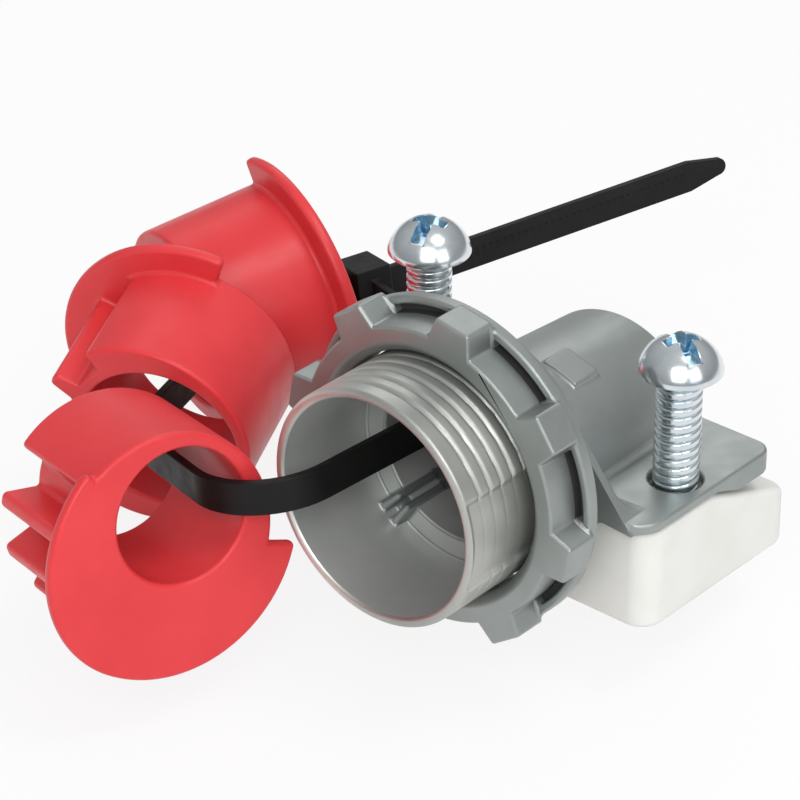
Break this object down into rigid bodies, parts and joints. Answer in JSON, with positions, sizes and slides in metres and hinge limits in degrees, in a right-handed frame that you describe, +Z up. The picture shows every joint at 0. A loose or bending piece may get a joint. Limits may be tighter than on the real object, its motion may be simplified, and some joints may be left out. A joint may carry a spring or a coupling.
{
  "type": "clamp cable connector",
  "caption": "Cast clamp connector with a threaded hub, lugged locknut and screw-down saddle, with eccentric throat bushings strung on a nylon cable tie.",
  "frame": {"origin": "middle of the hub's mouth, on the hub axis", "axes": "+X along the hub axis from the mouth to the clamp, +Z up along the clamp screws towards their heads, +Y towards the bushings"},
  "size_m": [0.1468, 0.1013, 0.0482],
  "materials": {
    "cast_zinc": "bare die-cast zinc alloy, satin",
    "white_moulding": "matt off-white moulding",
    "plated_steel": "bright zinc plate",
    "red_moulding": "satin red moulding",
    "black_nylon": "satin black nylon"
  },
  "bodies": {
    "connector": {"connector_body": "cast_zinc", "cable_tie": "black_nylon", "bushing_small": "red_moulding", "bushing_medium": "red_moulding", "bushing_large": "red_moulding"},
    "locknut": {"locknut": "cast_zinc"},
    "saddle": {"saddle": "white_moulding"},
    "screw_left": {"clamp_screw_left": "plated_steel"},
    "screw_right": {"clamp_screw_right": "plated_steel"}
  },
  "joints": [
    {"name": "locknut_turn", "type": "hinge", "parent": "connector", "child": "locknut", "pos_m": [0, 0, 0], "axis": [1, 0, 0], "continuous": true},
    {"name": "saddle_drop", "type": "slide", "parent": "connector", "child": "saddle", "axis": [0, 0, 1], "range_m": [-0.01, 0]},
    {"name": "screw_left_drive", "type": "slide", "parent": "connector", "child": "screw_left", "axis": [0, 0, 1], "range_m": [-0.0185, 0]},
    {"name": "screw_right_drive", "type": "slide", "parent": "connector", "child": "screw_right", "axis": [0, 0, 1], "range_m": [-0.0159, 0]}
  ]
}
